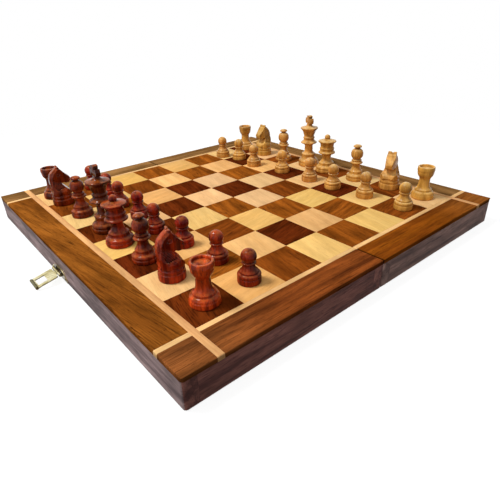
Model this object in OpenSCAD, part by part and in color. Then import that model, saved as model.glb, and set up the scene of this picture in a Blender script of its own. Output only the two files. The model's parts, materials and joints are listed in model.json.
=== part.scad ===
// Folding chess box: two shallow wooden trays, hinged along one edge.
// Opened flat, the trays lie with their rims on the table and carry the board on their backs.
// Closed, the board faces out and the trays hold the men.
//
// Origin: middle of the fold, in the plane of the rims. +X runs towards the half with the catch,
// +Y away from the near edge, +Z up out of the playing surface. Each half is drawn once, on the
// +X side, with u as its distance from the fold, and the clasp half is its mirror image.

/* [Board] */
// Side of one square
square = 32; // [28:1:40]
// Wood trimmed off the squares beside the fold
fold_trim = 1.2; // [0:0.2:2]
// Width of the frame round the squares, strip and rail together
border_w = 24.5; // [20:0.5:32]
// Height of one half, rim to playing surface
half_h = 20.5; // [19:0.5:30]
// Gap between the halves, at the fold when open and between the rims when closed
fold_gap = 0.2; // [0.1:0.05:0.4]

/* [Carcass] */
// Thickness of the walls
wall_t = 8.5; // [7:0.5:11]
// Thickness of the panel under the squares
panel_t = 3.5; // [3:0.5:5]
// Depth that the panel is let into the walls
rebate = 4; // [2:0.5:5]
// Radius of the outer edges of the playing surface
edge_r = 2.5; // [1:0.25:3]
// Radius of the upright corners
corner_r = 2; // [1:0.25:3]
// Radius of the eased edges at the fold
fold_r = 0.8; // [0.4:0.1:1.2]
// Thickness of the felt lining
lining_t = 1; // [0.6:0.1:2]
// Bare wood between the rim and the lining
lining_inset = 2; // [1:0.5:4]

/* [Inlay] */
// Thickness of the squares, strips and rails
inlay_t = 3; // [2:0.25:4]
// Width of the pale strips that run along the fold
long_strip_w = 4.4; // [3:0.1:6]
// Width of the pale strips that run across the fold
cross_strip_w = 3.5; // [3:0.1:6]
// Glue line between neighbouring pieces
glue = 0.1; // [0.04:0.02:0.3]

/* [Hinges] */
// Length of one hinge
hinge_len = 34; // [26:1:44]
// Distance of each hinge from the middle of the board
hinge_at = 96; // [60:1:110]
// Thickness of a hinge leaf
leaf_t = 0.9; // [0.7:0.1:1.2]
// Radius of the knuckles
knuckle_r = 1.1; // [1:0.1:1.5]
// Radius of the hinge pin
pin_r = 0.5; // [0.4:0.05:0.6]
// Running clearance round a pin
pin_play = 0.05; // [0.03:0.01:0.1]
// Number of knuckles in one hinge
knuckles = 5; // [3:2:7]
// Gap between neighbouring knuckles
knuckle_gap = 0.2; // [0.1:0.05:0.4]
// Room round moving brass in the wood
brass_room = 0.3; // [0.2:0.05:0.6]

/* [Clasp] */
// Distance of the clasp from the middle of the wall, away from the near edge
clasp_at = 8; // [-40:1:40]
// Thickness of the clasp's sheet brass
sheet_t = 0.7; // [0.6:0.05:0.9]
// Length of the half-moon plate
moon_w = 31; // [28:0.5:40]
// Height of the half-moon plate
moon_h = 8; // [7.5:0.5:10]
// Height of the half-moon plate's straight edge above the rim
moon_z = 1; // [0.6:0.1:2]
// Height of the clasp's pin above the rim
clasp_pin_z = 5; // [4.5:0.1:6]
// Distance of the clasp's pin from the wall
clasp_pin_out = 2.1; // [2:0.05:2.6]
// Width of the hasp
hasp_w = 14.5; // [13:0.5:17]
// Length of the hasp from its pin to the middle of its rolled lip
hasp_len = 16.6; // [15:0.1:19]
// Radius of the hasp's rolled lip
lip_r = 1.1; // [0.9:0.1:1.3]
// Width of the slot in the hasp
slot_w = 8.4; // [7.6:0.1:9.5]
// Length of the slot in the hasp
slot_len = 6.6; // [6:0.1:7]
// Clearance of the catch's hook in the slot, all round
hook_room = 0.7; // [0.5:0.05:1]
// Height of the catch's hook above its wall
hook_out = 3.7; // [3.4:0.1:4.2]
// Length of the catch plate
catch_w = 25; // [24:0.5:32]
// Height of the catch plate
catch_h = 7.4; // [6.8:0.2:7.6]

/* [Nails] */
// Radius of a nail's shank
nail_r = 0.6; // [0.5:0.05:0.8]
// Radius of a nail's head
nail_head_r = 1.4; // [1.2:0.05:1.6]
// Length of a nail
nail_len = 6.6; // [5:0.2:7]

/* [Men] */
// Height of a man against the drawn size
man_scale = 1; // [0.9:0.05:1.1]

/* [Hidden] */
$fn = 48;
LEFT = -1;
RIGHT = 1;
RANK = 8;              // squares along one side
FILES = RANK / 2;      // rows of squares on one half
eps = 0.01;
beyond = 1;            // how far a cutting shape runs past what it cuts
field_u = FILES * square - fold_trim;
half_w = field_u + border_w;
field_y = FILES * square;
half_l = field_y + border_w;
seat_z = half_h - inlay_t;
panel_z = seat_z - panel_t;
fold_u = fold_gap / 2;
inner_u = fold_u + wall_t;
outer_u = half_w - wall_t;
inner_y = half_l - wall_t;
axis_z = -fold_gap / 2;
leaf_u = knuckle_r + brass_room;
leaf_nail_u = (leaf_u + inner_u) / 2;
leaf_nail_y = hinge_len / 3;
pitch = hinge_len / knuckles;
hasp_knuckle_w = 6;
moon_knuckle_w = (hasp_w - hasp_knuckle_w) / 2 - knuckle_gap;
window_room = 0.4;
lip_land = 0.7;        // sheet left between the slot and the lip
slot_from = hasp_len - lip_r - slot_len - lip_land;
slot_mid = slot_from + slot_len / 2;
catch_z = slot_mid - clasp_pin_z - fold_gap;
hook_w = slot_w - 2 * hook_room;
hook_h = slot_len - 2 * hook_room;
table_room = 0.2;
hasp_rest = asin((clasp_pin_z - lip_r - table_room) / hasp_len);
moon_nail_in = 3.4;    // from the plate's tips to its nails
moon_nail_up = 2.4;    // from its straight edge to its nails
moon_nail_y = moon_w / 2 - moon_nail_in;
moon_nail_z = moon_z + moon_nail_up;
hasp_clear = 0.6;      // between the hasp's side and the catch's nails
catch_nail_y = (hasp_w / 2 + hasp_clear + catch_w / 2) / 2;
nail_point = 1.6;
head_t = 0.6;
nail_play = 0.05;
BENDS = 6;             // straight stretches in one drawn curve

WOOD_RAIL = [0.42, 0.22, 0.08];
WOOD_WALL = [0.30, 0.15, 0.08];
WOOD_DARK = [0.33, 0.14, 0.06];
WOOD_PALE = [0.93, 0.78, 0.50];
WOOD_STRIP = [0.95, 0.80, 0.60];
WOOD_PLY = [0.72, 0.58, 0.40];
FELT = [0.10, 0.30, 0.18];
BRASS = [0.85, 0.68, 0.32];
MAN_DARK = [0.40, 0.13, 0.06];
MAN_LIGHT = [0.87, 0.66, 0.34];

// Each man: name, kind, file from the near edge, shift from the middle of its square in X and Y,
// and the way it faces. The shifts are how the men happen to stand.
DARK_MEN = [
    ["dark_rook_near", "rook", 0, 0.9, -0.5, 0],
    ["dark_knight_near", "knight", 1, 1.5, 2.5, -12],
    ["dark_bishop_near", "bishop", 2, 0, 1.5, 0],
    ["dark_queen", "queen", 3, -1.2, 3.2, 0],
    ["dark_king", "king", 4, 1.2, 0, 0],
    ["dark_bishop_far", "bishop", 5, -1.3, 7.6, 0],
    ["dark_knight_far", "knight", 6, -3.2, 13.6, -6],
    ["dark_rook_far", "rook", 7, -3.4, 3.6, 0],
    ["dark_pawn_1", "pawn", 0, 0.7, -0.9, 0],
    ["dark_pawn_2", "pawn", 1, 1.6, -0.4, 0],
    ["dark_pawn_3", "pawn", 2, -2, 1.7, 0],
    ["dark_pawn_4", "pawn", 3, -4.8, 3.6, 0],
    ["dark_pawn_5", "pawn", 4, -1.4, 2.8, 0],
    ["dark_pawn_6", "pawn", 5, -2, 4, 0],
    ["dark_pawn_7", "pawn", 6, 0, 0, 0],
    ["dark_pawn_8", "pawn", 7, -1, 0, 0]
];
LIGHT_MEN = [
    ["light_rook_near", "rook", 0, 2.2, -0.5, 180],
    ["light_knight_near", "knight", 1, 2.2, -0.1, 198],
    ["light_bishop_near", "bishop", 2, -0.4, 2.6, 180],
    ["light_queen", "queen", 3, -0.7, 6.2, 180],
    ["light_king", "king", 4, 2.6, 1.1, 160],
    ["light_bishop_far", "bishop", 5, -3, 0, 180],
    ["light_knight_far", "knight", 6, -3, 0, 182],
    ["light_rook_far", "rook", 7, -3, 0, 180],
    ["light_pawn_1", "pawn", 0, 2.2, -2.6, 180],
    ["light_pawn_2", "pawn", 1, 1.6, 1.9, 180],
    ["light_pawn_3", "pawn", 2, -1.1, 2.6, 180],
    ["light_pawn_4", "pawn", 3, -0.6, -1, 180],
    ["light_pawn_5", "pawn", 4, -0.7, 3.8, 180],
    ["light_pawn_6", "pawn", 5, -6.6, 8, 180],
    ["light_pawn_7", "pawn", 6, -2.4, 5.6, 180],
    ["light_pawn_8", "pawn", 7, -8.6, -5.2, 180]
];
HALF_NODES = ["panel", "outer_wall", "hinge_wall", "end_walls", "dark_squares", "light_squares",
    "border_rails", "inlay_strips", "lining", "hinge_leaves", "nails"];

// ---------- curves and placing ----------

// Points on the way from p to q, bowed to the right by p[2] at the middle.
function bow(p, q) = let(
        run = [q[0] - p[0], q[1] - p[1]],
        side = [run[1], -run[0]] / norm(run),
        steps = p[2] == 0 ? 1 : BENDS
    ) [for (k = [1:steps]) let(t = k / steps)
        [p[0], p[1]] + t * run + 4 * t * (1 - t) * p[2] * side];

// An outline from points [x, y, bow of the stretch that follows].
function drawn(points) = concat(
    [[points[0][0], points[0][1]]],
    [for (k = [0:len(points) - 2]) each bow(points[k], points[k + 1])]
);

// A half's piece, drawn on the +X side.
module on_half(side) {
    if (side == LEFT) {
        mirror([1, 0, 0]) children();
    } else {
        children();
    }
}

// Both ends along the fold.
module at_both_ends() {
    children();
    mirror([0, 1, 0]) children();
}

module at_hinges() {
    for (end = [-1, 1]) {
        translate([0, end * hinge_at, 0]) children();
    }
}

// ---------- the form of one half ----------

// What a rounding of radius r takes off an outline's corner at the origin's top right.
module corner_off(r) {
    difference() {
        square(r + beyond);
        circle(r);
    }
}

module section_across_fold() {
    difference() {
        translate([fold_u, 0]) square([half_w - fold_u, half_h]);
        translate([half_w - edge_r, half_h - edge_r]) corner_off(edge_r);
        translate([fold_u + fold_r, half_h - fold_r]) mirror([1, 0]) corner_off(fold_r);
    }
}

module section_along_fold() {
    difference() {
        translate([-half_l, 0]) square([2 * half_l, half_h]);
        for (end = [0, 1]) {
            mirror([end, 0]) translate([half_l - edge_r, half_h - edge_r]) corner_off(edge_r);
        }
    }
}

module plan_of_half() {
    difference() {
        translate([0, -half_l]) square([half_w, 2 * half_l]);
        for (end = [0, 1]) {
            mirror([0, end]) {
                translate([half_w - corner_r, half_l - corner_r]) corner_off(corner_r);
                translate([fold_u + fold_r, half_l - fold_r]) mirror([1, 0]) corner_off(fold_r);
            }
        }
    }
}

// The outside of one half, with its edges rounded.
module outer_form() {
    intersection() {
        rotate([90, 0, 0]) linear_extrude(2 * half_l, center = true) section_across_fold();
        rotate([90, 0, 90]) linear_extrude(half_w) section_along_fold();
        linear_extrude(half_h) plan_of_half();
    }
}

// A box from its two corners.
module block(from, to) {
    translate(from) cube(to - from);
}

// ---------- carcass ----------

module panel_blank() {
    block([inner_u - rebate, -inner_y - rebate, panel_z],
        [outer_u + rebate, inner_y + rebate, seat_z]);
}

module panel(side) {
    color(WOOD_PLY) on_half(side) panel_blank();
}

module outer_wall(side) {
    color(WOOD_WALL) on_half(side) difference() {
        intersection() {
            outer_form();
            block([outer_u, -half_l, 0], [half_w, half_l, seat_z]);
        }
        panel_blank();
        if (side == LEFT) {
            at_moon_nails() nail_hole();
        } else {
            at_catch_nails() nail_hole();
        }
    }
}

module hinge_wall(side) {
    color(WOOD_WALL) on_half(side) difference() {
        intersection() {
            outer_form();
            block([fold_u, -half_l, 0], [inner_u, half_l, seat_z]);
        }
        panel_blank();
        at_hinges() {
            hinge_mortise();
            at_leaf_nails() nail_hole();
        }
    }
}

module end_walls(side) {
    color(WOOD_WALL) on_half(side) at_both_ends() difference() {
        block([inner_u, inner_y, 0], [outer_u, half_l, seat_z]);
        panel_blank();
    }
}

// Felt on the tray's floor and walls.
module lining(side) {
    color(FELT) on_half(side) difference() {
        block([inner_u, -inner_y, lining_inset], [outer_u, inner_y, panel_z]);
        block([inner_u + lining_t, lining_t - inner_y, lining_inset - beyond],
            [outer_u - lining_t, inner_y - lining_t, panel_z - lining_t]);
    }
}

// ---------- playing surface ----------

// One inlaid piece, a glue line smaller than its place.
module tile(from, to) {
    inset = glue / 2;
    block([from[0] + inset, from[1] + inset, seat_z], [to[0] - inset, to[1] - inset, half_h]);
}

// Where file i from the fold begins.
function file_u(i) = i == 0 ? -beyond : i * square - fold_trim;

module squares(side, shade) {
    on_half(side) intersection() {
        for (i = [0:FILES - 1], j = [0:RANK - 1]) {
            if ((i + j + (side == LEFT ? 1 : 0)) % 2 == shade) {
                tile([file_u(i), j * square - field_y], [file_u(i + 1), (j + 1) * square - field_y]);
            }
        }
        outer_form();
    }
}

module dark_squares(side) {
    color(WOOD_DARK) squares(side, 0);
}

module light_squares(side) {
    color(WOOD_PALE) squares(side, 1);
}

// Pale strips round the squares. The long one runs through to both ends, the cross ones butt
// against it and run on to the outer edge.
module inlay_strips(side) {
    color(WOOD_STRIP) on_half(side) intersection() {
        union() {
            tile([field_u, -half_l - beyond], [field_u + long_strip_w, half_l + beyond]);
            at_both_ends() {
                tile([-beyond, field_y], [field_u, field_y + cross_strip_w]);
                tile([field_u + long_strip_w, field_y], [half_w + beyond, field_y + cross_strip_w]);
            }
        }
        outer_form();
    }
}

// Dark frame outside the strips, with a block in each corner.
module border_rails(side) {
    rail_u = field_u + long_strip_w;
    rail_y = field_y + cross_strip_w;
    color(WOOD_RAIL) on_half(side) intersection() {
        union() {
            tile([rail_u, -field_y], [half_w + beyond, field_y]);
            at_both_ends() {
                tile([-beyond, rail_y], [field_u, half_l + beyond]);
                tile([rail_u, rail_y], [half_w + beyond, half_l + beyond]);
            }
        }
        outer_form();
    }
}

// ---------- nails ----------

// A nail along +Z with its head's top at the origin's plane, sunk by its head when flush is true.
module nail(flush, room = 0) {
    dome = flush ? 0 : head_t;
    neck_z = flush ? head_t : 0;
    crown = flush ? 1 : 0.45; // share of the head that its flat top takes
    brim = 0.4;               // share of the dome's height at its edge
    rotate_extrude() polygon([
        [0, -dome - room],
        [nail_head_r * crown + room, -dome - room],
        [nail_head_r + room, -dome * brim - room],
        [nail_head_r + room, 0],
        [nail_r + room, neck_z],
        [nail_r + room, nail_len - nail_point],
        [0, nail_len + room]
    ]);
}

// The hole for a nail, wide enough for its shank.
module nail_hole() {
    translate([0, 0, -beyond]) cylinder(r = nail_r + nail_play, h = nail_len - nail_point + beyond);
    translate([0, 0, nail_len - nail_point - eps])
        cylinder(r1 = nail_r + nail_play, r2 = nail_play, h = nail_point + nail_play);
}

module at_leaf_nails() {
    for (end = [-1, 1]) {
        translate([leaf_nail_u, end * leaf_nail_y, 0]) children();
    }
}

module at_moon_nails() {
    for (end = [-1, 1]) {
        translate([half_w + sheet_t, clasp_at + end * moon_nail_y, moon_nail_z])
            rotate([0, -90, 0]) children();
    }
}

module at_catch_nails() {
    for (end = [-1, 1]) {
        translate([half_w + sheet_t, clasp_at + end * catch_nail_y, catch_z])
            rotate([0, -90, 0]) children();
    }
}

module nails(side) {
    color(BRASS) on_half(side) {
        at_hinges() at_leaf_nails() nail(true);
        if (side == LEFT) {
            at_moon_nails() nail(false);
        } else {
            at_catch_nails() nail(false);
        }
    }
}

// ---------- hinges ----------

// What is cut from a wall for a hinge: a seat for the leaf and room for the knuckles.
module hinge_mortise() {
    block([-beyond, -hinge_len / 2 - brass_room, -beyond],
        [inner_u + beyond, hinge_len / 2 + brass_room, leaf_t]);
    translate([0, 0, axis_z]) rotate([90, 0, 0])
        cylinder(r = knuckle_r + brass_room, h = hinge_len + 2 * brass_room, center = true);
}

// Two leaves let into one half's rim. The clasp half has the odd knuckles, with one at each end.
module hinge_leaves(side) {
    first = side == LEFT ? 0 : 1;
    color(BRASS) on_half(side) at_hinges() difference() {
        union() {
            block([leaf_u, -hinge_len / 2, 0], [inner_u, hinge_len / 2, leaf_t]);
            for (k = [first:2:knuckles - 1]) {
                translate([0, (k + 0.5) * pitch - hinge_len / 2, 0]) {
                    translate([0, 0, axis_z]) rotate([90, 0, 0])
                        cylinder(r = knuckle_r, h = pitch - knuckle_gap, center = true);
                    block([0, (knuckle_gap - pitch) / 2, 0],
                        [leaf_u + eps, (pitch - knuckle_gap) / 2, leaf_t]);
                }
            }
        }
        translate([0, 0, axis_z]) rotate([90, 0, 0])
            cylinder(r = pin_r + pin_play, h = hinge_len + beyond, center = true);
        at_leaf_nails() nail(true, nail_play);
    }
}

module hinge_pins() {
    color(BRASS) at_hinges() translate([0, 0, axis_z]) rotate([90, 0, 0])
        cylinder(r = pin_r, h = hinge_len - knuckle_gap, center = true);
}

// ---------- clasp ----------

// Along the clasp's pin, on the clasp half.
module at_clasp_pin() {
    translate([half_w + clasp_pin_out, clasp_at, clasp_pin_z]) children();
}

module along_y(r, w) {
    rotate([90, 0, 0]) cylinder(r = r, h = w, center = true);
}

// A flat outline (distance along the wall, height) as sheet brass on the outer wall.
module sheet_on_wall() {
    translate([half_w, clasp_at, 0]) rotate([90, 0, 90]) linear_extrude(sheet_t) children();
}

module half_moon() {
    moon_r = (pow(moon_w / 2, 2) + pow(moon_h, 2)) / (2 * moon_h);
    tip_off = 0.8;
    intersection() {
        translate([0, moon_z + moon_h - moon_r]) circle(moon_r);
        translate([tip_off - moon_w / 2, moon_z]) square([moon_w - 2 * tip_off, moon_h]);
    }
}

// Half-moon plate with a window for the hasp's knuckle and a knuckle each side of it.
module latch_plate() {
    window_r = knuckle_r + window_room;
    color(BRASS) on_half(LEFT) difference() {
        union() {
            sheet_on_wall() half_moon();
            for (end = [-1, 1]) {
                translate([0, end * (hasp_w - moon_knuckle_w) / 2, 0]) {
                    at_clasp_pin() along_y(knuckle_r, moon_knuckle_w);
                    translate([half_w + eps, clasp_at - moon_knuckle_w / 2, clasp_pin_z - knuckle_r])
                        cube([clasp_pin_out, moon_knuckle_w, sheet_t]);
                }
            }
        }
        at_clasp_pin() along_y(pin_r + pin_play, hasp_w + beyond);
        translate([half_w - beyond, clasp_at - hasp_knuckle_w / 2 - knuckle_gap, clasp_pin_z - window_r])
            cube([sheet_t + 2 * beyond, hasp_knuckle_w + 2 * knuckle_gap, 2 * window_r]);
        at_moon_nails() nail(false, nail_play);
    }
}

module hasp_pin() {
    color(BRASS) on_half(LEFT) at_clasp_pin() along_y(pin_r, hasp_w);
}

// The hasp's outline, from its pin at the origin out along +X.
module hasp_outline() {
    root = knuckle_r + window_room;
    turn_r = 1.6;
    difference() {
        union() {
            translate([root, -hasp_w / 2]) square([hasp_len - root, hasp_w]);
            translate([0, -hasp_knuckle_w / 2]) square([root + eps, hasp_knuckle_w]);
        }
        for (end = [0, 1]) {
            mirror([0, end]) translate([root + turn_r, hasp_w / 2 - turn_r])
                mirror([1, 0]) corner_off(turn_r);
        }
        translate([slot_from, -slot_w / 2]) difference() {
            square([slot_len, slot_w]);
            for (along = [0, 1], across = [0, 1]) {
                translate([along * slot_len, across * slot_w])
                    mirror([along, 0]) mirror([0, across]) slot_corner();
            }
        }
    }
}

module slot_corner() {
    slot_r = 0.6;
    difference() {
        translate([-beyond, -beyond]) square(slot_r + beyond);
        translate([slot_r, slot_r]) circle(slot_r);
    }
}

// The swinging hasp, at rest with its rolled lip just over the table.
module hasp() {
    lip_w = hasp_w - 1;
    color(BRASS) on_half(LEFT) at_clasp_pin() rotate([0, hasp_rest, 0]) difference() {
        union() {
            translate([0, 0, -sheet_t / 2]) linear_extrude(sheet_t) hasp_outline();
            along_y(knuckle_r, hasp_knuckle_w);
            translate([hasp_len, 0, 0]) along_y(lip_r, lip_w);
        }
        along_y(pin_r + pin_play, hasp_w + beyond);
    }
}

// The catch: a plate with rounded ends and a hook that stands through the hasp's slot.
module catch_plate() {
    end_r = catch_h / 2;
    color(BRASS) on_half(RIGHT) difference() {
        union() {
            sheet_on_wall() translate([0, catch_z]) {
                translate([end_r - catch_w / 2, -end_r]) square([catch_w - catch_h, catch_h]);
                for (end = [-1, 1]) {
                    translate([end * (catch_w / 2 - end_r), 0]) circle(end_r);
                }
            }
            translate([half_w, clasp_at, catch_z]) rotate([90, 0, 0])
                linear_extrude(hook_w, center = true) hook_outline();
        }
        at_catch_nails() nail(false, nail_play);
    }
}

// The hook's side view, out from the wall along +X: a straight back and a rounded nose.
module hook_outline() {
    straight = 0.6;
    nose_r = hook_out - sheet_t - straight;
    notch_r = 1.1;
    notch_out = 1.3;
    notch_up = 0.3;
    difference() {
        translate([0, -hook_h / 2]) square([hook_out, hook_h]);
        translate([hook_out - nose_r, nose_r - hook_h / 2]) mirror([0, 1]) corner_off(nose_r);
        translate([sheet_t + notch_out, hook_h / 2 + notch_up]) circle(notch_r);
    }
}

// ---------- men ----------

// Turned profiles: [radius, height, bow of the stretch that follows], from the foot up.
PAWN = [[6.9, 0, 0], [7.3, 0.5, 0.1], [7.2, 3.8, 0], [6.8, 4.2, 0], [7.2, 4.9, 0.35], [6.3, 6.7, 0],
    [5.7, 6.9, 0.1], [5.7, 7.8, -0.5], [3.4, 12.2, 0], [4.1, 12.6, 0.35], [4.1, 13.6, 0], [3, 14, 0]];
PAWN_HEAD = [4.8, 17]; // radius and height of the ball
ROOK = [[8.6, 0, 0], [9, 0.6, 0.1], [9, 2.2, 0.15], [8.6, 4, 0.4], [7.2, 6.3, 0], [6.6, 6.5, 0],
    [6.7, 7.2, 0.15], [6.2, 8.2, -0.3], [4.7, 11, -0.1], [4.3, 15.4, -0.25], [4.9, 18, 0.5],
    [6.5, 22.6, 0.2], [6.8, 25.2, 0.1], [6.5, 26.6, 0], [5.4, 26.6, 0.1], [5, 24.8, 0.3], [0, 23.6, 0]];
BISHOP = [[8.1, 0, 0], [8.5, 0.6, 0.15], [8.4, 2.8, 0], [8, 3.1, 0.6], [7.4, 5.6, -0.2], [6, 6.8, 0],
    [5.8, 7.7, 0.25], [5.5, 9, -0.6], [3.6, 14, -0.1], [4.2, 15.5, 0], [5.4, 15.9, 0.4],
    [5.2, 17.2, 0], [4.4, 17.5, -0.1], [4.4, 18.2, 0.3], [4.1, 19.3, 0], [3.3, 20, 0.75],
    [5.5, 24.8, 0.95], [2.2, 29.5, -0.1], [2.3, 30.2, 0], [3.5, 30.6, 0.3], [3.5, 31.9, 0.1],
    [1.9, 32.7, 0.1], [0, 33, 0]];
QUEEN = [[9.4, 0, 0], [10, 0.7, 0.15], [9.9, 3, 0], [9.4, 3.3, 0.65], [8.8, 6, -0.6], [7, 8.2, 0.1],
    [7.1, 9.3, -1.1], [4.2, 15.7, -0.5], [7.4, 18.3, 0], [8, 18.7, 0.2], [7.8, 19.8, -0.15],
    [6.7, 21, 0], [6.8, 22.4, 0.3], [6.7, 23.8, 0], [6.4, 24.2, -0.1], [6.5, 26.8, -0.3],
    [7.9, 29, 0], [8.5, 29.4, 0.15], [8.4, 30.4, -0.15], [2.4, 32.2, 0]];
QUEEN_BALL = [2.7, 33.6];
KING = [[9.3, 0, 0], [9.9, 0.7, 0.15], [9.8, 3.2, 0], [9.3, 3.5, 0.65], [8.8, 6.4, -0.9],
    [6.9, 11.2, 0.25], [6.6, 12.6, -0.9], [4.1, 16.5, 0], [4, 20.6, -0.5], [7.2, 22.8, 0],
    [7.9, 23.2, 0.2], [7.7, 24.3, -0.45], [5.1, 27, 0], [5.4, 27.5, 0.4], [5.3, 29.3, 0], [4.8, 29.8, 0],
    [5.9, 33.4, -0.3], [8.2, 37, 0], [8.6, 37.5, 0.15], [8.4, 38.5, -0.1], [4.2, 39.4, -0.1], [3, 40.4, 0]];
CROSS_Z = 44.9; // middle of the king's cross
KNIGHT_BASE = [[8.2, 0, 0], [8.6, 0.5, 0.1], [8.5, 4.9, 0], [8, 5.3, 0], [8.1, 6.2, 0.3], [7.8, 8.2, 0.2],
    [7.1, 9.1, 0], [6, 9.3, 0]];

module turned(profile) {
    top_z = profile[len(profile) - 1][1];
    rotate_extrude() polygon(concat([[0, 0]], drawn(profile), [[0, top_z]]));
}

module ball(at) {
    translate([0, 0, at[1]]) sphere(at[0]);
}

module pawn() {
    turned(PAWN);
    ball(PAWN_HEAD);
}

module rook() {
    turned(ROOK);
}

module bishop() {
    turned(BISHOP);
}

module queen() {
    turned(QUEEN);
    ball(QUEEN_BALL);
}

// The king's cross: four arms that widen to rounded ends.
module cross_outline() {
    reach = 5.2;
    waist = 1.2;
    flare = 2.9;
    intersection() {
        circle(reach);
        for (way = [0:90:270]) {
            rotate(way) polygon([[0, -waist], [reach, -flare], [reach, flare], [0, waist]]);
        }
    }
}

module king() {
    cross_t = 3.6;
    turned(KING);
    translate([0, 0, CROSS_Z]) rotate([90, 0, 90]) linear_extrude(cross_t, center = true) cross_outline();
}

// Side view of the horse, from the front of its chest up over the head and down the back.
HORSE_SIDE = [[7.3, 9, 0], [7.8, 10.2, 0.3], [5.2, 13.6, -0.3], [1.2, 18.8, -0.5], [4.4, 18.6, 0.2],
    [7.6, 18.7, 0.4], [8.9, 21.3, 0.35], [8.2, 23.7, -0.3], [3, 29.7, 0.1], [1.9, 30.6, 0],
    [1.5, 32.2, 0.2], [0.3, 32.8, 0.1], [-1, 31.4, 0.1], [-4.6, 28.4, 0.5], [-6.9, 24.8, 0.3],
    [-7.6, 21, 0.2], [-7.1, 14, -0.3], [-7.6, 10, 0.1], [-7.3, 9, 0]];
// Front view, right side from the foot up: [half width, height, bow].
HORSE_FRONT = [[7.1, 9, 0.1], [7.8, 10.2, 0.3], [6.6, 14, -0.2], [5, 17.6, -0.2], [4.3, 20, 0],
    [4.1, 26, 0], [3.6, 33, 0]];
HORSE_FOOT = 9;
HORSE_TOP = 33;
HORSE_REACH = 10; // from the middle past the nose and the back

// Seen from above: as round as the foot, with the head and the back standing out over it.
module horse_plan() {
    foot_r = 8.2;
    back = 8;
    half_t = 4.4;
    circle(foot_r);
    translate([-back, -half_t]) square([back + HORSE_REACH, 2 * half_t]);
}

// One half of the front view.
module horse_front() {
    core = 1; // past the middle, so that the two halves join
    polygon(concat(drawn(HORSE_FRONT), [[-core, HORSE_TOP], [-core, HORSE_FOOT]]));
}

// A straight cut on both sides of the horse between two points [x, half width, z].
module side_cut(from, to) {
    run = to - from;
    for (side = [0, 1]) {
        mirror([0, side, 0]) translate(from)
            rotate([0, acos(run[2] / norm(run)), atan2(run[1], run[0])]) children();
    }
}

module groove(from, to, r) {
    side_cut(from, to) cylinder(r = r, h = norm(to - from));
}

// Takes an edge off at 45 degrees, w / sqrt(2) deep on both faces.
module bevel(from, to, w) {
    past = 0.5;
    side_cut(from, to) translate([0, 0, -past]) rotate(45)
        translate([-w / 2, -w / 2, 0]) cube([w, w, norm(to - from) + 2 * past]);
}

// The crest, cut back on both sides from the ears down.
module crest() {
    w = 2.8;
    path = [[-0.8, 3.7, 32], [-4.9, 3.9, 28.7], [-7.1, 4.1, 24.8], [-7.8, 4.4, 20], [-9, 5.8, 13]];
    for (k = [0:len(path) - 2]) {
        bevel(path[k], path[k + 1], w);
    }
}

// Hair: the edge of the cheek, and locks that fall from it over the neck.
module locks() {
    lock_r = 0.5;
    count = 6;
    groove([-7.6, 4.3, 23.4], [0.6, 4.35, 19.4], lock_r);
    for (k = [0:count - 1]) {
        t = k / (count - 1);
        top = [-6.4, 4.1, 22.2] * (1 - t) + [-0.4, 4.2, 19.4] * t;
        foot = [-3.2, 6.3, 13.2] * (1 - t) + [2.4, 6.1, 14.6] * t;
        groove(top, foot, lock_r);
    }
}

module horse_face() {
    eye = [-0.2, 4, 26.3];
    eye_r = 1.5;
    eye_depth = 0.9;
    ball_r = 0.9;
    nostril = [7.9, 3.1, 22.3];
    nostril_r = 0.6;
    nostril_depth = 1;
    mouth = [5.8, -HORSE_REACH / 2, 20.2];
    mouth_t = 0.5;
    chin_z = 18.65;
    gap_w = 3;
    gap_z = 33.6;
    for (side = [-1, 1]) {
        // round eye, left standing in its socket
        translate([eye[0], side * eye[1], eye[2]]) rotate([90, 0, 0]) difference() {
            cylinder(r = eye_r, h = eye_depth, center = true);
            cylinder(r = ball_r, h = eye_depth + beyond, center = true);
        }
        // the head narrows to the nose
        mirror([0, side > 0 ? 0 : 1, 0]) translate([0, 0, chin_z]) linear_extrude(HORSE_TOP)
            polygon([[1.5, 4.5], [HORSE_REACH, 2.8], [HORSE_REACH, HORSE_REACH], [1.5, HORSE_REACH]]);
        translate([nostril[0], side * nostril[1], nostril[2]]) rotate([90, 0, 0])
            cylinder(r = nostril_r, h = nostril_depth, center = true);
    }
    translate(mouth) rotate([0, -8, 0]) cube([HORSE_REACH / 2, HORSE_REACH, mouth_t]);
    // gap between the ears
    translate([-2, 0, gap_z]) rotate([45, 0, 0]) cube([HORSE_REACH, gap_w, gap_w], center = true);
}

module knight() {
    turned(KNIGHT_BASE);
    difference() {
        intersection() {
            rotate([90, 0, 0]) linear_extrude(2 * HORSE_REACH, center = true) polygon(drawn(HORSE_SIDE));
            rotate([90, 0, 90]) linear_extrude(2 * HORSE_REACH, center = true) {
                horse_front();
                mirror([1, 0]) horse_front();
            }
            linear_extrude(HORSE_TOP) horse_plan();
        }
        crest();
        locks();
        horse_face();
    }
}

module shape_of(kind) {
    if (kind == "pawn") pawn();
    if (kind == "rook") rook();
    if (kind == "knight") knight();
    if (kind == "bishop") bishop();
    if (kind == "queen") queen();
    if (kind == "king") king();
}

// A man on its square. The men stand on the two outermost files of their half, pawns inside.
module stand(man, side) {
    file = man[1] == "pawn" ? FILES - 2 : FILES - 1;
    at = [side * ((file + 0.5) * square - fold_trim) + man[3], (man[2] + 0.5) * square - field_y + man[4]];
    color(side == LEFT ? MAN_DARK : MAN_LIGHT)
        translate([at[0], at[1], half_h]) rotate([0, 0, man[5]]) scale(man_scale) shape_of(man[1]);
}

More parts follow.
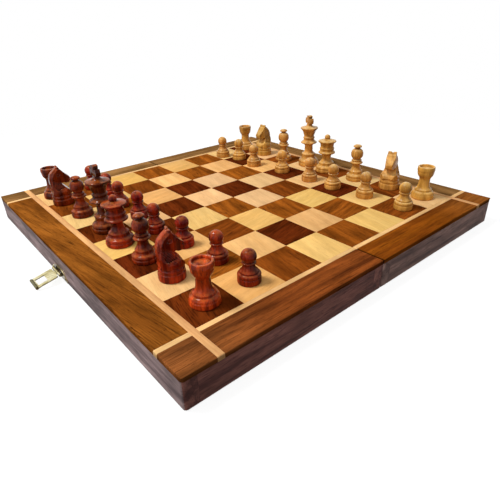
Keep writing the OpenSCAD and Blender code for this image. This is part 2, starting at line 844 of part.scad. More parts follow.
module half_part(side, part) {
    if (part == "panel") panel(side);
    if (part == "outer_wall") outer_wall(side);
    if (part == "hinge_wall") hinge_wall(side);
    if (part == "end_walls") end_walls(side);
    if (part == "dark_squares") dark_squares(side);
    if (part == "light_squares") light_squares(side);
    if (part == "border_rails") border_rails(side);
    if (part == "inlay_strips") inlay_strips(side);
    if (part == "lining") lining(side);
    if (part == "hinge_leaves") hinge_leaves(side);
    if (part == "nails") nails(side);
}

for (part = HALF_NODES) {
    half_part(LEFT, part);
    half_part(RIGHT, part);
}
hinge_pins();
latch_plate();
hasp();
hasp_pin();
catch_plate();
for (man = DARK_MEN) {
    stand(man, LEFT);
}
for (man = LIGHT_MEN) {
    stand(man, RIGHT);
}
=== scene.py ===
"""Looks of the folding inlaid chess box: varnished woods, brass, felt, turned and carved men."""

import json
import math
import random

import bmesh
import bpy
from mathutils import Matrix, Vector


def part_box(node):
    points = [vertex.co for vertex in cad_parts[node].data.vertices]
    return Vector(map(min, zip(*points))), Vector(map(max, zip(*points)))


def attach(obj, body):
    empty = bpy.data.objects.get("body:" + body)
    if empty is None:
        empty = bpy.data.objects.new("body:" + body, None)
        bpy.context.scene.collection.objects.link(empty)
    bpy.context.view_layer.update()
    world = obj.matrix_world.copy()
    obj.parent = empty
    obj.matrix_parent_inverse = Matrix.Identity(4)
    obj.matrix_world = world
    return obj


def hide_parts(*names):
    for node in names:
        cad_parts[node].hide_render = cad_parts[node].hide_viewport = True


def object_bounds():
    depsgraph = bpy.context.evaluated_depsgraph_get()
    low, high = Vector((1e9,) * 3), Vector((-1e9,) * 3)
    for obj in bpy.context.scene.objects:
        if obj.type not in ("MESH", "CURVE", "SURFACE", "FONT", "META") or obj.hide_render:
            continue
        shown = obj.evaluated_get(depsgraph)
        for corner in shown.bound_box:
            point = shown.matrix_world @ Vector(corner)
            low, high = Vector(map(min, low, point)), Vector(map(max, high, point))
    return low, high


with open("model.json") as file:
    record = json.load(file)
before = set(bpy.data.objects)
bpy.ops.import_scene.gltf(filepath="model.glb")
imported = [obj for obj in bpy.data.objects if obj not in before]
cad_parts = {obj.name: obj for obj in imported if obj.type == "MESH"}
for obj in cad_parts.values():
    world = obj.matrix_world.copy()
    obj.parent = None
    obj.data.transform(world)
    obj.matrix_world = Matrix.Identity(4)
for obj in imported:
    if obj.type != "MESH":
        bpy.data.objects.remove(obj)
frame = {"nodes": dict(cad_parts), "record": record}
cad_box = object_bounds()

MM = 0.001
NODES = frame["nodes"]
BODY_OF = {n: b for b, ns in frame["record"]["behaviour"]["bodies"].items() for n in ns}
random.seed(8)

# The field of squares, read from the frame: its half length along the fold, its reach from the
# fold and one square, in millimetres. The board's face is in metres.
FIELD_HALF_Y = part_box("left_dark_squares")[1].y / MM
FIELD_U = -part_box("left_dark_squares")[0].x / MM
SQUARE = round(FIELD_HALF_Y / 4)
BOARD_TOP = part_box("left_dark_squares")[1].z
# Width of the pale strip between the field and a side rail, and slack beside a seam.
LONG_STRIP_W = 4.4
SEAM_SLACK = 0.05
# Lines that run inside the strips: past them lie the side rails and the end rails.
SIDE_RAIL_FROM = FIELD_U + 2
END_RAIL_FROM = FIELD_HALF_Y + 1


def placed(name, data):
    """A new object in the scene."""
    item = bpy.data.objects.new(name, data)
    bpy.context.scene.collection.objects.link(item)
    return item


# ---------- node helpers ----------

# Where a Mix node has its two inputs and its result, by kind of value.
MIX_SOCKETS = {"FLOAT": (2, 3, 0), "VECTOR": (4, 5, 1), "RGBA": (6, 7, 2)}


class Graph:
    """Short calls for building a node tree."""

    def __init__(self, tree):
        self.tree = tree
        tree.nodes.clear()

    def node(self, kind, **settings):
        n = self.tree.nodes.new(kind)
        for key, value in settings.items():
            setattr(n, key, value)
        return n

    def link(self, a, b):
        self.tree.links.new(a, b)

    def put(self, socket, value):
        """Feeds a socket with another node's output or with a fixed value."""
        if isinstance(value, bpy.types.NodeSocket):
            self.link(value, socket)
        elif isinstance(value, (int, float)):
            socket.default_value = value
        elif len(value) == 3 and socket.type == "RGBA":
            socket.default_value = (*value, 1)
        else:
            socket.default_value = value

    def math(self, op, a, b=0.0, c=0.0):
        n = self.node("ShaderNodeMath", operation=op)
        for socket, value in zip(n.inputs, (a, b, c)):
            self.put(socket, value)
        return n.outputs[0]

    def times(self, product, *factors):
        """All the values multiplied."""
        for factor in factors:
            product = self.math("MULTIPLY", product, factor)
        return product

    def rest(self, share):
        """What a share leaves of 1."""
        return self.math("SUBTRACT", 1.0, share)

    def span(self, share, low, high):
        """low where the share is 0, high where it is 1, straight between."""
        return self.math("MULTIPLY_ADD", share, high - low, low)

    def ramp(self, value, low, high):
        """0 up to low, 1 from high, smooth between."""
        n = self.node("ShaderNodeMapRange", interpolation_type="SMOOTHSTEP")
        self.link(value, n.inputs[0])
        n.inputs[1].default_value = low
        n.inputs[2].default_value = high
        return n.outputs[0]

    def vector(self, op, a, b=(0, 0, 0), scale=1.0):
        n = self.node("ShaderNodeVectorMath", operation=op)
        self.put(n.inputs[0], a)
        if op == "SCALE":
            self.put(n.inputs["Scale"], scale)
        else:
            self.put(n.inputs[1], b)
        return n.outputs["Value" if op == "LENGTH" else "Vector"]

    def split(self, v):
        n = self.node("ShaderNodeSeparateXYZ")
        self.link(v, n.inputs[0])
        return n.outputs

    def join(self, x, y, z):
        n = self.node("ShaderNodeCombineXYZ")
        for socket, value in zip(n.inputs, (x, y, z)):
            self.put(socket, value)
        return n.outputs[0]

    def mix(self, share, a, b, kind="FLOAT", mode="MIX"):
        """a where the share is 0, b where it is 1."""
        first, second, result = MIX_SOCKETS[kind]
        n = self.node("ShaderNodeMix", data_type=kind, blend_type=mode)
        self.put(n.inputs[0], share)
        self.put(n.inputs[first], a)
        self.put(n.inputs[second], b)
        return n.outputs[result]

    def blend(self, share, a, b, mode="MIX"):
        """A mix of two colours."""
        return self.mix(share, a, b, "RGBA", mode)

    def noise(self, at, scale=1.0, detail=2.0, rough=0.5, warp=0.0):
        n = self.node("ShaderNodeTexNoise")
        self.link(at, n.inputs["Vector"])
        n.inputs["Scale"].default_value = scale
        n.inputs["Detail"].default_value = detail
        n.inputs["Roughness"].default_value = rough
        n.inputs["Distortion"].default_value = warp
        return n.outputs["Fac"]

    def bump(self, height, depth_mm):
        n = self.node("ShaderNodeBump")
        n.inputs["Distance"].default_value = depth_mm * MM
        self.link(height, n.inputs["Height"])
        return n.outputs[0]


def new_material(name):
    """A material, the graph of its nodes and its main shader."""
    material = bpy.data.materials.new(name)
    material.use_nodes = True
    g = Graph(material.node_tree)
    shader = g.node("ShaderNodeBsdfPrincipled")
    g.link(shader.outputs[0], g.node("ShaderNodeOutputMaterial").inputs[0])
    return material, g, shader


def place_mm(g, shift=(0, 0, 0)):
    """Object coordinates in millimetres, moved by a shift so that no two pieces share a grain."""
    at = g.node("ShaderNodeTexCoord").outputs["Object"]
    return g.vector("ADD", g.vector("SCALE", at, scale=1 / MM), shift)


def facing(g):
    """The direction that the surface faces, in the piece's own x, y and z."""
    return g.split(g.node("ShaderNodeTexCoord").outputs["Normal"])


# ---------- camera, light and floor ----------

CAMERA_AT = (-0.2149, -0.2797, 0.1581)
CAMERA_TURN = (61.571, 1.684, -40.517)
CAMERA_NEAR = 0.01
SENSOR_MM = 36
LENS_MM = 31.0

# Each lamp: where it stands, its width in metres and its power in watts. All face one point.
LAMPS = {
    "key": dict(at=(-0.45, 0.25, 1.0), size=0.22, power=8.5),
    "side": dict(at=(-1.0, -0.15, 0.35), size=0.7, power=2.6),
}
LAMP_AIM = (0, 0, 0.01)

# Strength of the surroundings as light.
HORIZON_LIGHT = 0.08
ZENITH_LIGHT = 0.60

FLOOR_HALF = 6.0
FLOOR_PAINT = (0.93, 0.93, 0.93, 1)
FLOOR_GLOW = 0.5
# How much of the floor's shadow shows, and where it fades out, in metres from the middle.
SHADOW_SHARE = 0.22
SHADOW_FADE = (0.25, 0.55)


def set_camera():
    data = bpy.data.cameras.new("camera")
    data.sensor_width = SENSOR_MM
    data.lens = LENS_MM
    data.clip_start = CAMERA_NEAR
    camera = placed("camera", data)
    camera.location = CAMERA_AT
    camera.rotation_euler = [math.radians(a) for a in CAMERA_TURN]
    bpy.context.scene.camera = camera


def soft_box(name, at, size, power):
    """A square studio lamp."""
    data = bpy.data.lights.new(name, "AREA")
    data.shape = "SQUARE"
    data.size = size
    data.energy = power
    lamp = placed(name, data)
    lamp.location = at
    lamp.rotation_euler = (Vector(LAMP_AIM) - Vector(at)).to_track_quat("-Z", "Y").to_euler()


def light_world():
    """Surroundings that light faintly from the horizon, more from overhead, and show as white."""
    world = bpy.data.worlds.new("surroundings")
    bpy.context.scene.world = world
    world.use_nodes = True
    g = Graph(world.node_tree)
    up = g.split(g.node("ShaderNodeTexCoord").outputs["Generated"])[2]
    light = g.span(g.math("MAXIMUM", up, 0.0), HORIZON_LIGHT, ZENITH_LIGHT)
    path = g.node("ShaderNodeLightPath")
    seen = g.math("MAXIMUM", path.outputs["Is Camera Ray"], path.outputs["Is Glossy Ray"])
    seen = g.math("MAXIMUM", seen, path.outputs["Is Transmission Ray"])
    background = g.node("ShaderNodeBackground")
    background.inputs["Color"].default_value = (1, 1, 1, 1)
    g.link(g.mix(seen, light, 1.0), background.inputs["Strength"])
    g.link(background.outputs[0], g.node("ShaderNodeOutputWorld").inputs[0])


def floor_paint():
    """White that shows a faint shadow near the board, to the camera and from above only."""
    material = bpy.data.materials.new("white_floor")
    material.use_nodes = True
    g = Graph(material.node_tree)
    from_camera = g.node("ShaderNodeLightPath").outputs["Is Camera Ray"]
    above = g.rest(g.node("ShaderNodeNewGeometry").outputs["Backfacing"])
    away = g.vector("LENGTH", g.node("ShaderNodeTexCoord").outputs["Object"])
    near = g.rest(g.ramp(away, *SHADOW_FADE))
    paint = g.node("ShaderNodeBsdfDiffuse")
    paint.inputs["Color"].default_value = FLOOR_PAINT
    glow = g.node("ShaderNodeEmission")
    glow.inputs["Strength"].default_value = FLOOR_GLOW
    both = g.node("ShaderNodeAddShader")
    g.link(paint.outputs[0], both.inputs[0])
    g.link(glow.outputs[0], both.inputs[1])
    mix = g.node("ShaderNodeMixShader")
    g.link(g.times(from_camera, above, SHADOW_SHARE, near), mix.inputs[0])
    g.link(g.node("ShaderNodeBsdfTransparent").outputs[0], mix.inputs[1])
    g.link(both.outputs[0], mix.inputs[2])
    g.link(mix.outputs[0], g.node("ShaderNodeOutputMaterial").inputs[0])
    return material


def lay_floor():
    """A floor at the part's lowest point. What folds down below it still shows through."""
    mesh = bpy.data.meshes.new("floor")
    z = cad_box[0][2]
    corners = [(-1, -1), (1, -1), (1, 1), (-1, 1)]
    mesh.from_pydata([(x * FLOOR_HALF, y * FLOOR_HALF, z) for x, y in corners], [], [(0, 1, 2, 3)])
    floor = placed("floor", mesh)
    mesh.materials.append(floor_paint())


# ---------- wood ----------

# Each wood: its tone, the dark of its broad figure and of its streaks; how much the figure, the
# streaks, the blotches and the fibres show; width of its bands, how far they wander, and length
# and width of a streak, in millimetres; roughness and gloss. For the men also the colour of their
# painted top light, how much of it shows, and how dark the painted shade and staining in grooves
# are.
WOODS = {
    "gold_rail": dict(
        tone=(0.335, 0.108, 0.014), dark=(0.190, 0.056, 0.007), line=(0.060, 0.017, 0.003),
        figure=0.8, streaks=0.90, blotch=0.50, fibre=0.60,
        band=9.0, sway=1.5, streak=(22.0, 0.60), rough=0.5, gloss=0.0),
    "brown_rail": dict(
        tone=(0.290, 0.073, 0.014), dark=(0.090, 0.020, 0.005), line=(0.050, 0.012, 0.004),
        figure=0.9, streaks=0.50, blotch=0.35, fibre=0.50,
        band=5.0, sway=1.0, streak=(22.0, 0.80), rough=0.5, gloss=0.0),
    "amber_rail": dict(
        tone=(0.300, 0.080, 0.006), dark=(0.165, 0.038, 0.004), line=(0.060, 0.014, 0.002),
        figure=0.9, streaks=0.60, blotch=0.50, fibre=0.45,
        band=6.0, sway=7.0, streak=(14.0, 0.80), rough=0.5, gloss=0.0),
    "olive_rail": dict(
        tone=(0.330, 0.165, 0.055), dark=(0.190, 0.090, 0.025), line=(0.080, 0.030, 0.008),
        figure=0.8, streaks=0.60, blotch=0.50, fibre=0.45,
        band=6.0, sway=2.0, streak=(16.0, 0.80), rough=0.5, gloss=0.0),
    # The wall tones hold a painted sheen: dark wood greyed by the white surroundings' reflection at
    # a grazing view, most on the side wall.
    "side_wall": dict(
        tone=(0.340, 0.238, 0.232), dark=(0.115, 0.073, 0.074), line=(0.050, 0.028, 0.028),
        figure=0.9, streaks=0.60, blotch=0.90, fibre=0.60,
        band=7.0, sway=2.0, streak=(14.0, 0.80), rough=0.55, gloss=0.05),
    "left_end": dict(
        tone=(0.330, 0.136, 0.108), dark=(0.100, 0.037, 0.033), line=(0.030, 0.010, 0.010),
        figure=0.9, streaks=0.70, blotch=0.90, fibre=0.60,
        band=7.0, sway=4.0, streak=(12.0, 0.80), rough=0.55, gloss=0.05),
    "right_end": dict(
        tone=(0.440, 0.258, 0.215), dark=(0.140, 0.078, 0.068), line=(0.050, 0.026, 0.022),
        figure=0.9, streaks=0.70, blotch=0.90, fibre=0.60,
        band=7.0, sway=4.0, streak=(12.0, 0.80), rough=0.55, gloss=0.05),
    "dark_square": dict(
        tone=(0.210, 0.049, 0.006), dark=(0.110, 0.024, 0.003), line=(0.030, 0.006, 0.002),
        figure=0.7, streaks=0.70, blotch=0.70, fibre=0.50,
        band=5.0, sway=3.0, streak=(9.0, 0.70), rough=0.5, gloss=0.0),
    "pale_square": dict(
        tone=(0.89, 0.535, 0.180), dark=(0.78, 0.440, 0.130), line=(0.50, 0.22, 0.06),
        figure=0.6, streaks=0.30, blotch=0.22, fibre=0.18,
        band=5.0, sway=3.0, streak=(7.0, 0.70), rough=0.5, gloss=0.01),
    "strip": dict(
        tone=(0.88, 0.53, 0.195), dark=(0.74, 0.39, 0.135), line=(0.50, 0.22, 0.08),
        figure=0.6, streaks=0.30, blotch=0.40, fibre=0.20,
        band=2.5, sway=1.0, streak=(9.0, 0.60), rough=0.5, gloss=0.01),
    "ply": dict(
        tone=(0.52, 0.36, 0.20), dark=(0.44, 0.29, 0.15), line=(0.25, 0.15, 0.07),
        figure=0.6, streaks=0.25, blotch=0.20, fibre=0.20,
        band=6.0, sway=5.0, streak=(14.0, 0.80), rough=0.65, gloss=0.05),
    "dark_man": dict(
        tone=(0.380, 0.034, 0.006), dark=(0.080, 0.004, 0.002), line=(0.020, 0.002, 0.002),
        figure=0.95, streaks=0.60, blotch=0.80, fibre=0.20,
        band=6.0, sway=2.0, streak=(9.0, 0.60), rough=0.15, gloss=0.11,
        top_light=(0.50, 0.130, 0.024), top_light_share=0.60, stain_and_shade=1.0),
    "light_man": dict(
        tone=(0.78, 0.37, 0.080), dark=(0.45, 0.18, 0.028), line=(0.22, 0.065, 0.008),
        figure=0.8, streaks=0.22, blotch=0.50, fibre=0.12,
        band=4.0, sway=2.0, streak=(9.0, 0.60), rough=0.26, gloss=0.12,
        top_light=(0.94, 0.66, 0.28), top_light_share=0.55, stain_and_shade=0.9),
}

# Sizes of the patterns that every wood has, along and across its grain, in millimetres.
SWAY_SIZE = (70.0, 30.0)
BLOTCH_SIZE = (34.0, 11.0)
FIGURE_LENGTH = 130.0
DENSE_SIZE = (60.0, 4.5)
FIBRE_SIZE = (12.0, 0.36)
PORE_SIZE = (3.5, 0.30)
# The share of its streaks that shows where a board has few.
SPARSE_STREAKS = 0.35
# Depth of a pore, height of a fibre as a share of it, and how much duller a pore is.
PORE_DEPTH_MM = 0.03
FIBRE_HEIGHT = 0.5
PORE_DULLNESS = 0.08


def slanted(g, grain, degrees):
    """The same board with its grain turned in its face."""
    along, across, deep = g.split(grain)
    c, s = math.cos(math.radians(degrees)), math.sin(math.radians(degrees))
    turned_along = g.math("MULTIPLY_ADD", along, c, g.times(across, s))
    turned_across = g.math("MULTIPLY_ADD", across, c, g.times(along, -s))
    return g.join(turned_along, turned_across, deep)


def wood_colour(g, grain, spec):
    """Colour and relief of a planed board: blotches, figure, short dark streaks, fibres, pores.
    The grain is a place in the board: along the fibres, across them, and deep."""
    along, across, deep = g.split(grain)

    def stretched(length, width, **how):
        sizes = ((along, length), (across, width), (deep, width))
        return g.noise(g.join(*(g.math("DIVIDE", value, size) for value, size in sizes)), **how)

    sway = g.span(stretched(*SWAY_SIZE, detail=1.0), -spec["sway"], spec["sway"])
    across = g.math("ADD", across, sway)
    blotch = stretched(*BLOTCH_SIZE, detail=3.0, rough=0.6)
    figure = stretched(FIGURE_LENGTH, spec["band"], detail=4.0, rough=0.6, warp=0.15)
    streak = stretched(*spec["streak"], detail=2.0, rough=0.6, warp=0.2)
    dense = stretched(*DENSE_SIZE, detail=2.0)
    fibre = stretched(*FIBRE_SIZE, detail=2.0)
    pores = g.ramp(stretched(*PORE_SIZE, detail=1.0), low=0.64, high=0.74)
    figured = g.times(g.ramp(figure, low=0.38, high=0.62), spec["figure"])
    colour = g.blend(figured, spec["tone"], spec["dark"])
    crowded = g.mix(g.ramp(dense, low=0.35, high=0.60), SPARSE_STREAKS, 1.0)
    streaked = g.times(g.ramp(streak, low=0.50, high=0.68), crowded, spec["streaks"])
    colour = g.blend(streaked, colour, spec["line"])
    fibre_light = g.mix(spec["fibre"], 1.0, g.span(fibre, low=0.2, high=1.8))
    blotch_light = g.mix(spec["blotch"], 1.0, g.span(blotch, low=-0.4, high=2.4))
    lit = g.times(fibre_light, blotch_light)
    colour = g.blend(1.0, colour, g.join(lit, lit, lit), "MULTIPLY")
    colour = g.blend(g.times(pores, spec["streaks"]), colour, spec["line"])
    relief = g.math("SUBTRACT", g.times(fibre, FIBRE_HEIGHT), pores)
    return colour, relief


def tinted(g, colour, hue=0.5, saturation=1.0, value=1.0):
    n = g.node("ShaderNodeHueSaturation")
    g.put(n.inputs["Hue"], hue)
    g.put(n.inputs["Saturation"], saturation)
    g.put(n.inputs["Value"], value)
    g.link(colour, n.inputs["Color"])
    return n.outputs[0]


def between(g, share, first, second):
    """Colours that go from those of the first wood to those of the second with the share."""
    return {key: g.blend(share, first[key], second[key]) for key in ("tone", "dark", "line")}


def varnish(g, shader, colour, relief, spec):
    """A thin satin finish: the fibres stay open, and the pores are duller."""
    g.link(colour, shader.inputs["Base Color"])
    g.link(g.bump(relief, PORE_DEPTH_MM), shader.inputs["Normal"])
    rough = g.math("MULTIPLY_ADD", relief, -PORE_DULLNESS, spec["rough"])
    g.link(rough, shader.inputs["Roughness"])
    shader.inputs["Specular IOR Level"].default_value = spec["gloss"]


# ---------- woods of the box ----------

# How far apart in the log the pieces of one kind are cut, in millimetres.
SQUARES_APART = (900.0, 700.0)
STRIPS_APART = 500.0
RAILS_APART = 300.0
END_RAILS_APART = 200.0

# Squares whose lot is above this lie crosswise. All have their grain on a slight slant.
CROSSWISE_FROM = 0.72
SQUARE_SLANT = 12
# Tints of the squares, from the lowest lot to the highest. The lean keeps most dark ones dark.
SQUARE_HUES = (0.487, 0.509)
DARK_SQUARE_VALUES = (0.66, 1.96)
DARK_SQUARE_LEAN = 1.8
PALE_SQUARE_VALUES = (0.92, 1.02)
PALE_SQUARE_SATURATIONS = (0.88, 1.06)
# Tints of the two kinds of strip.
SHORT_STRIP = dict(hue=0.500, saturation=0.95, value=1.02)
LONG_STRIP = dict(hue=0.488, saturation=1.0, value=0.88)

# Brightness of the rails, from the lowest lot to the highest, and of a corner block beside them.
RAIL_VALUES = (0.92, 1.08)
CORNER_VALUE = 1.10
# The near end rail dulls between these distances from the fold, as far as this share.
DULL_FROM_TO = (70, 150)
DULL_SHARE = 0.26
# A darker band on the edge at the fold: where it ends, in millimetres, and its value.
FOLD_DARK_FROM_TO = (0.35, 1.1)
FOLD_DARK_VALUE = 0.25

# A wall's face turned this far towards the near or far side is its end.
WALL_END_TURN = 0.6


def board_wood(name, kind, shift=(0, 0, 0)):
    """One board with its grain across the fold."""
    material, g, shader = new_material(name)
    colour, relief = wood_colour(g, place_mm(g, shift), WOODS[kind])
    varnish(g, shader, colour, relief, WOODS[kind])
    return material


def long_wall(name, end, shift):
    """A wall along the fold. Its ends, on the near and far side, have the end walls' colours."""
    material, g, shader = new_material(name)
    side = WOODS["side_wall"]
    at_end = g.math("GREATER_THAN", g.math("ABSOLUTE", facing(g)[1]), WALL_END_TURN)
    spec = {**side, **between(g, at_end, side, WOODS[end])}
    x, y, z = g.split(place_mm(g, shift))
    colour, relief = wood_colour(g, g.join(y, x, z), spec)
    varnish(g, shader, colour, relief, spec)
    return material


def lot_of(g):
    """Three random numbers that every inlaid piece was given when it was cut."""
    return g.split(g.node("ShaderNodeAttribute", attribute_name="lot").outputs["Vector"])


def tile_wood(name, kind):
    """Squares, each cut from another board: its own grain direction, tone and place in the log."""
    spec = WOODS[kind]
    material, g, shader = new_material(name)
    x, y, z = g.split(place_mm(g))
    pick, turn, shade = lot_of(g)
    crosswise = g.math("GREATER_THAN", turn, CROSSWISE_FROM)
    along = g.math("MULTIPLY_ADD", pick, SQUARES_APART[0], g.mix(crosswise, y, x))
    across = g.math("MULTIPLY_ADD", shade, SQUARES_APART[1], g.mix(crosswise, x, y))
    grain = slanted(g, g.join(along, across, z), SQUARE_SLANT)
    colour, relief = wood_colour(g, grain, spec)
    if kind == "dark_square":
        hue = g.span(shade, *SQUARE_HUES)
        saturation = 1.0
        value = g.span(g.math("POWER", shade, DARK_SQUARE_LEAN), *DARK_SQUARE_VALUES)
    else:
        hue = g.span(pick, *SQUARE_HUES)
        saturation = g.span(turn, *PALE_SQUARE_SATURATIONS)
        value = g.span(shade, *PALE_SQUARE_VALUES)
    varnish(g, shader, tinted(g, colour, hue, saturation, value), relief, spec)
    return material


def strip_wood(name):
    """Inlaid strips: the long ones along the fold are a pinker wood than the short ones across."""
    spec = WOODS["strip"]
    material, g, shader = new_material(name)
    x, y, z = g.split(place_mm(g))
    outward = g.math("ABSOLUTE", x)
    past_field = g.math("GREATER_THAN", outward, FIELD_U - SEAM_SLACK)
    past_strip = g.math("GREATER_THAN", outward, FIELD_U + LONG_STRIP_W + SEAM_SLACK)
    long = g.math("SUBTRACT", past_field, past_strip)
    pick = lot_of(g)[0]
    across = g.math("MULTIPLY_ADD", pick, STRIPS_APART, g.mix(long, y, x))
    colour, relief = wood_colour(g, g.join(g.mix(long, x, y), across, z), spec)
    tint = {key: g.mix(long, SHORT_STRIP[key], LONG_STRIP[key]) for key in SHORT_STRIP}
    varnish(g, shader, tinted(g, colour, **tint), relief, spec)
    return material


def rail_wood(name, side, end, slant):
    """The frame of one half. The side rail is one wood with its grain along the fold, on a slant;
    the near end rail is another that dulls towards its corner block, and the far one a third, with
    their grain across the fold. The rails are darker towards the fold, where the two halves meet."""
    material, g, shader = new_material(name)
    x, y, z = g.split(place_mm(g))
    lot = lot_of(g)
    pick, shade = lot[0], lot[2]
    outward = g.math("ABSOLUTE", x)
    outer = g.math("GREATER_THAN", outward, SIDE_RAIL_FROM)
    inner = g.math("LESS_THAN", g.math("ABSOLUTE", y), END_RAIL_FROM)
    lengthwise = g.times(outer, inner)
    corner = g.times(outer, g.rest(inner))
    long_grain = g.join(g.math("MULTIPLY_ADD", pick, RAILS_APART, y), x, z)
    cross_grain = g.join(x, g.math("MULTIPLY_ADD", g.math("SIGN", y), END_RAILS_APART, y), z)
    grain = g.mix(lengthwise, cross_grain, slanted(g, long_grain, slant), "VECTOR")
    far = g.math("GREATER_THAN", y, 0.0)
    dull = g.math("MAXIMUM", far, g.times(g.ramp(outward, *DULL_FROM_TO), DULL_SHARE))
    across_fold = between(g, dull, WOODS[end], WOODS["olive_rail"])
    spec = {**WOODS[side], **between(g, lengthwise, across_fold, WOODS[side])}
    colour, relief = wood_colour(g, grain, spec)
    # The rails turn darker towards the fold.
    fold_darkening = g.mix(g.ramp(outward, *FOLD_DARK_FROM_TO), FOLD_DARK_VALUE, 1.0)
    value = g.times(g.span(shade, *RAIL_VALUES), g.mix(corner, 1.0, CORNER_VALUE), fold_darkening)
    varnish(g, shader, tinted(g, colour, value=value), relief, spec)
    return material


# ---------- wood of the men ----------

# How near its walls stand where a groove gets painted shade, and scale of the top light patches.
MAN_GROOVE_MM = 2.5
TOP_LIGHT_PATCH_SCALE = 0.35


def groove_shade(g, reach_mm):
    """Painted shade from ambient occlusion: 1 deep in a groove of the piece itself, 0 where it is
    open.
    """
    n = g.node("ShaderNodeAmbientOcclusion", samples=6, only_local=True)
    n.inputs["Distance"].default_value = reach_mm * MM
    return g.rest(g.ramp(n.outputs["AO"], low=0.30, high=0.95))


def man_wood(name, kind, shift, hue, value):
    """Lacquered wood of a man, with painted shade and staining in its grooves and painted top light
    above.
    """
    spec = WOODS[kind]
    material, g, shader = new_material(name)
    at = place_mm(g, shift)
    x, y, z = g.split(at)
    colour, relief = wood_colour(g, g.join(z, x, y), spec)
    colour = tinted(g, colour, hue=hue, value=value)
    # Painted top light: faces turned upward are lighter, in patches.
    upward = g.ramp(facing(g)[2], low=0.35, high=1.0)
    patches = g.noise(at, scale=TOP_LIGHT_PATCH_SCALE, detail=3.0, rough=0.6)
    lit_patches = g.ramp(patches, low=0.30, high=0.62)
    colour = g.blend(g.times(upward, lit_patches, spec["top_light_share"]), colour, spec["top_light"])
    # Painted shade in the grooves, together with the staining that gathers there.
    grooves_darkened = g.times(groove_shade(g, MAN_GROOVE_MM), spec["stain_and_shade"])
    varnish(g, shader, g.blend(grooves_darkened, colour, spec["line"]), relief, spec)
    return material


# ---------- brass and felt ----------

BRASS_PALE = (0.88, 0.80, 0.50)
BRASS_SMEARED = (0.62, 0.53, 0.25)
BRASS_STRIPE = (0.26, 0.22, 0.08)
# Painted shadow under the hasp's lip, painted dark reflection on upright faces, painted shade with
# tarnish in corners.
BRASS_LIP_SHADOW = (0.10, 0.09, 0.025)
BRASS_UPRIGHT_REFLECTION = (0.07, 0.040, 0.014)
BRASS_CORNER_SHADE_AND_TARNISH = (0.02, 0.015, 0.007)
# Roughness from the unsmeared places to the smeared ones, and how near walls stand for corner
# shade.
BRASS_ROUGH = (0.12, 0.34)
BRASS_CORNER_MM = 1.2
# Scale of the smears, and of the stripes from rolling, along and across them, and their depth.
SMEAR_SCALE = 0.16
ROLLED_ALONG = 0.05
ROLLED_ACROSS = 0.9
ROLLED_DEPTH_MM = 0.03
# Where the painted shadow on the hasp's lip begins and is fully dark, in millimetres from its end.
LIP_SHADOW_FROM_TO = (2.6, 1.4)

FELT_DARK = (0.010, 0.055, 0.025)
FELT_LIGHT = (0.035, 0.14, 0.07)
FELT_PATCH_VALUES = (0.75, 1.25)
FELT_DEPTH_MM = 0.25


def brass(name):
    """Bright sheet brass: pale, smeared and striped along its rolling. It has a painted dark
    reflection on its upright faces, painted shade with tarnish in its corners and a painted shadow
    on the hasp's lip."""
    hasp_end = -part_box("hasp")[0].x / MM
    material, g, shader = new_material(name)
    at = place_mm(g)
    x, y, z = g.split(at)
    smear = g.noise(at, scale=SMEAR_SCALE, detail=2.0)
    rolled = g.noise(g.join(g.times(x, ROLLED_ALONG), g.times(y, ROLLED_ACROSS), z), detail=3.0)
    # Where the painted shadow on the lip and the painted dark reflection on upright faces fall.
    lip = g.ramp(g.times(x, -1.0), hasp_end - LIP_SHADOW_FROM_TO[0], hasp_end - LIP_SHADOW_FROM_TO[1])
    upright = g.rest(g.ramp(g.math("ABSOLUTE", facing(g)[2]), low=0.25, high=0.85))
    colour = g.blend(g.ramp(smear, low=0.40, high=0.62), BRASS_PALE, BRASS_SMEARED)
    for where, strength, tone in (
        (g.ramp(rolled, low=0.46, high=0.66), 0.70, BRASS_STRIPE),
        (lip, 0.85, BRASS_LIP_SHADOW),
        (upright, 0.85, BRASS_UPRIGHT_REFLECTION),
        # Painted shade with tarnish in the corners.
        (groove_shade(g, BRASS_CORNER_MM), 0.90, BRASS_CORNER_SHADE_AND_TARNISH),
    ):
        colour = g.blend(g.times(where, strength), colour, tone)
    g.link(colour, shader.inputs["Base Color"])
    g.link(g.span(smear, *BRASS_ROUGH), shader.inputs["Roughness"])
    g.link(g.bump(rolled, ROLLED_DEPTH_MM), shader.inputs["Normal"])
    shader.inputs["Metallic"].default_value = 1.0
    return material


def felt(name):
    """Short green felt, a little threadbare in patches."""
    material, g, shader = new_material(name)
    at = place_mm(g)
    tufts = g.noise(at, scale=2.6, detail=4.0, rough=0.7)
    patches = g.noise(at, scale=0.03, detail=2.0)
    colour = g.blend(tufts, FELT_DARK, FELT_LIGHT)
    colour = tinted(g, colour, value=g.span(patches, *FELT_PATCH_VALUES))
    g.link(colour, shader.inputs["Base Color"])
    g.link(g.bump(tufts, FELT_DEPTH_MM), shader.inputs["Normal"])
    shader.inputs["Roughness"].default_value = 0.95
    shader.inputs["Sheen Weight"].default_value = 0.3
    return material


# ---------- pieces made over a CAD node ----------

# Corners nearer than this are one, in metres.
MERGE = 1e-6
# Edges sharper than this stay crisp. Those of a turned bead are blunter.
TURNED_CREASE = math.radians(33)


def copy_of(node, name):
    """The node's mesh as a new object, with its corners merged."""
    mesh = bpy.data.meshes.new(name)
    b = bmesh.new()
    b.from_mesh(NODES[node].data)
    bmesh.ops.remove_doubles(b, verts=b.verts, dist=MERGE)
    bmesh.ops.recalc_face_normals(b, faces=b.faces)
    b.to_mesh(mesh)
    b.free()
    return placed(name, mesh)


def stand_in(piece, node):
    """The piece moves with the node's body and takes its place."""
    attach(piece, BODY_OF[node])
    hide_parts(node)


